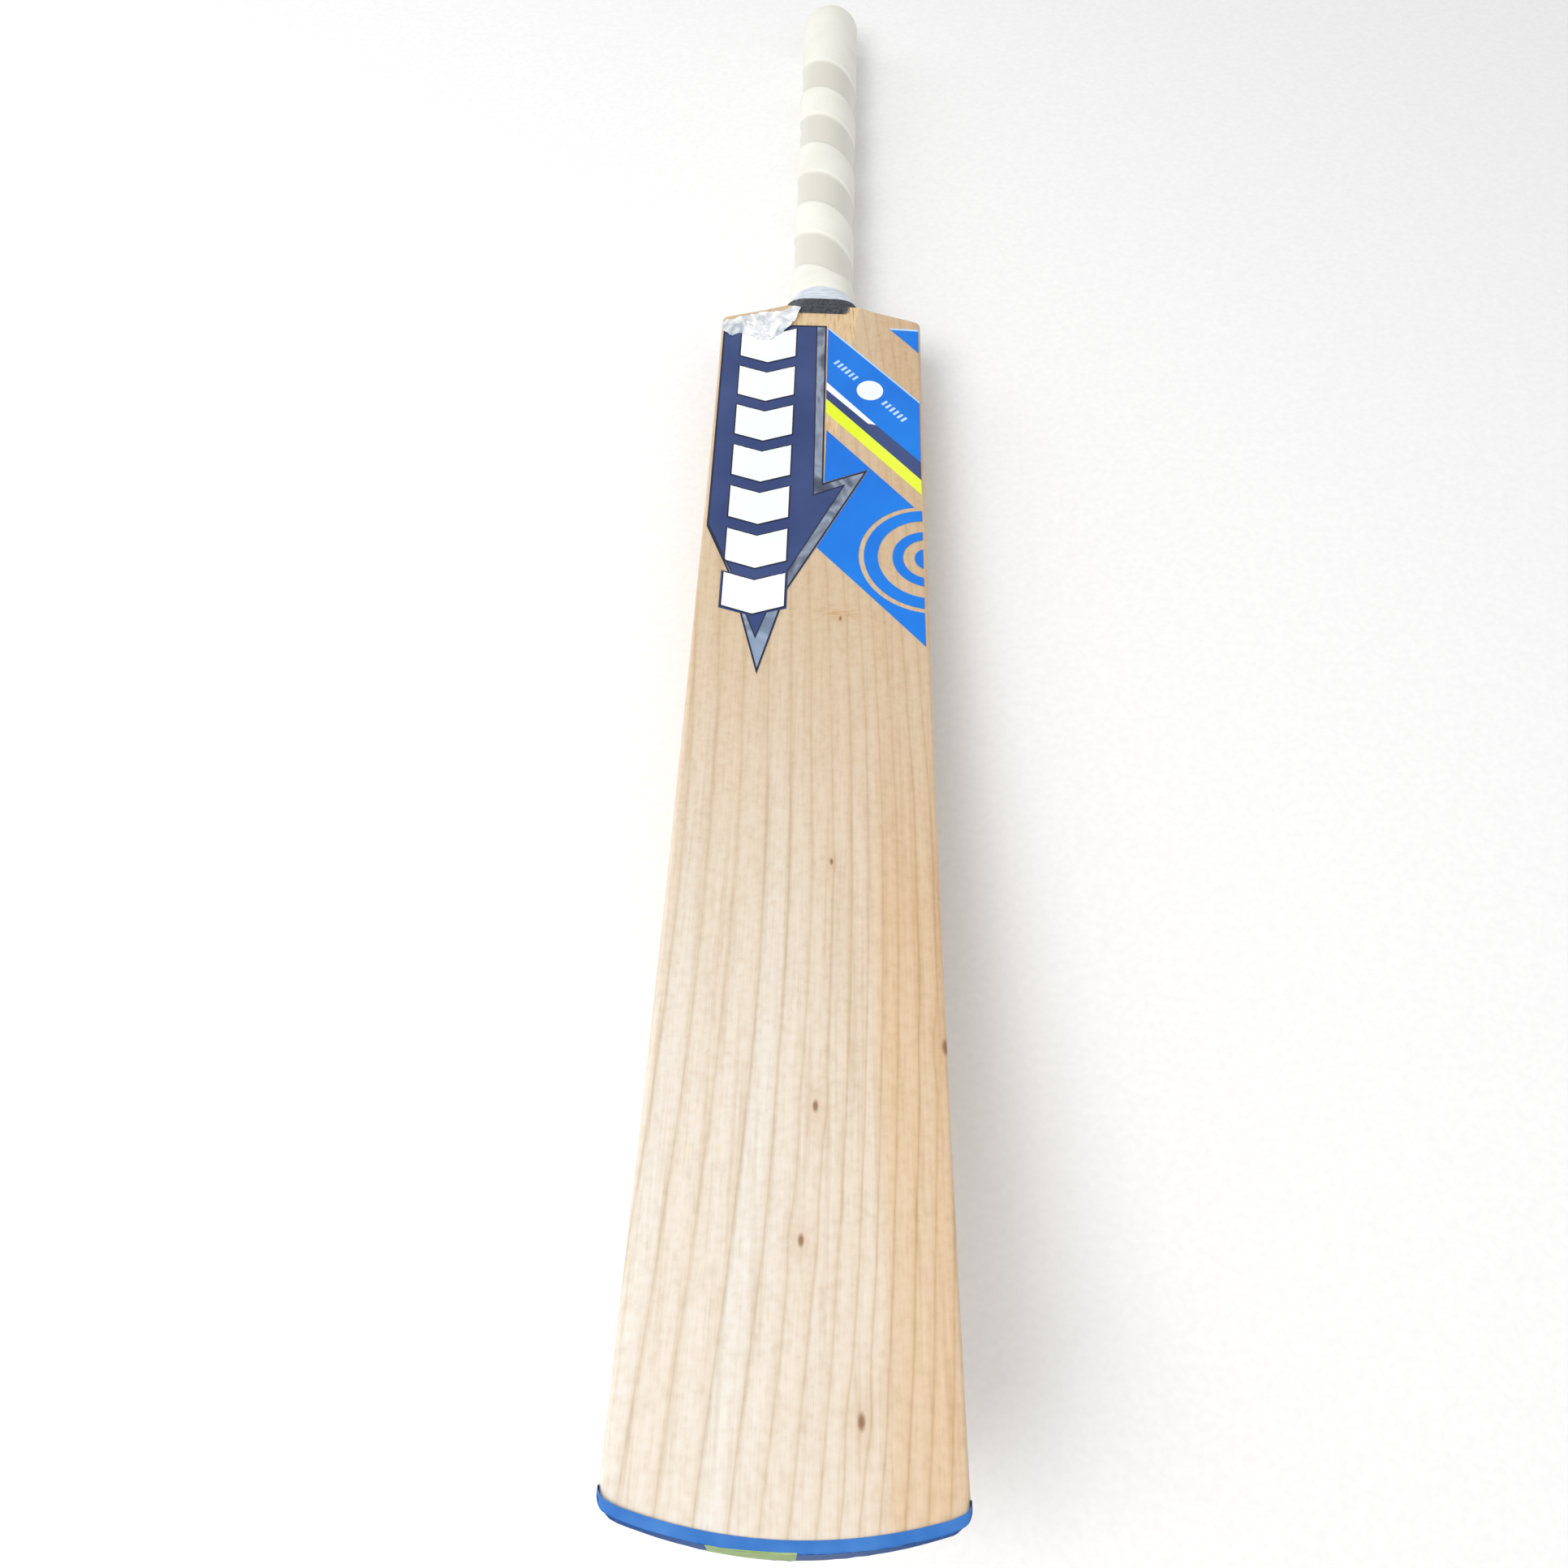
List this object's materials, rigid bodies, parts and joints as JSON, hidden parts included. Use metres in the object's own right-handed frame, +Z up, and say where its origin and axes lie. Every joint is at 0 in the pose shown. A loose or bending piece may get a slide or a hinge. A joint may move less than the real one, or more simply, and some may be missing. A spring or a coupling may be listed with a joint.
{
  "type": "cricket bat",
  "caption": "Adult short-handle cricket bat with a bowed willow blade, laminated cane handle, white spiral rubber grip, blue toe guard and plain navy, blue and lime labels.",
  "frame": {"origin": "middle of the overall width and length, at the lowest point of the bat lying on its back", "axes": "+X across the face, +Y along the bat from the toe to the handle, +Z up, out of the face"},
  "size_m": [0.108, 0.8506, 0.1233],
  "materials": {
    "willow": "satin",
    "cane": "satin",
    "spring_rubber": "matte",
    "binding_twine": "matte",
    "whipping_thread": "satin",
    "neck_tape": "satin",
    "grip_rubber": "matte",
    "guard_rubber": "satin",
    "patch_rubber": "matte",
    "navy_vinyl": "satin",
    "silver_foil": "metallic",
    "white_vinyl": "satin",
    "blue_vinyl": "satin",
    "pale_blue_vinyl": "satin",
    "lime_vinyl": "satin",
    "clear_film": "gloss"
  },
  "bodies": {
    "root": {"blade": "willow", "cane_billet_1_1": "cane", "cane_billet_1_2": "cane", "cane_billet_1_3": "cane", "cane_billet_2_1": "cane", "cane_billet_2_2": "cane", "cane_billet_2_3": "cane", "cane_billet_3_1": "cane", "cane_billet_3_2": "cane", "cane_billet_3_3": "cane", "cane_billet_4_1": "cane", "cane_billet_4_2": "cane", "cane_billet_4_3": "cane", "rubber_spring_back": "spring_rubber", "rubber_spring_middle": "spring_rubber", "rubber_spring_front": "spring_rubber", "handle_binding": "binding_twine", "neck_whipping": "whipping_thread", "neck_tape": "neck_tape", "grip_sleeve": "grip_rubber", "toe_guard": "guard_rubber", "toe_guard_patch": "patch_rubber", "main_label": "navy_vinyl", "silver_edge": "silver_foil", "white_chevrons": "white_vinyl", "blue_band_label": "blue_vinyl", "white_stripe": "white_vinyl", "navy_stripe": "navy_vinyl", "lime_stripe": "lime_vinyl", "band_disc": "white_vinyl", "band_ticks": "pale_blue_vinyl", "lower_label": "blue_vinyl", "corner_label": "blue_vinyl", "clear_film": "clear_film"}
  },
  "joints": []
}
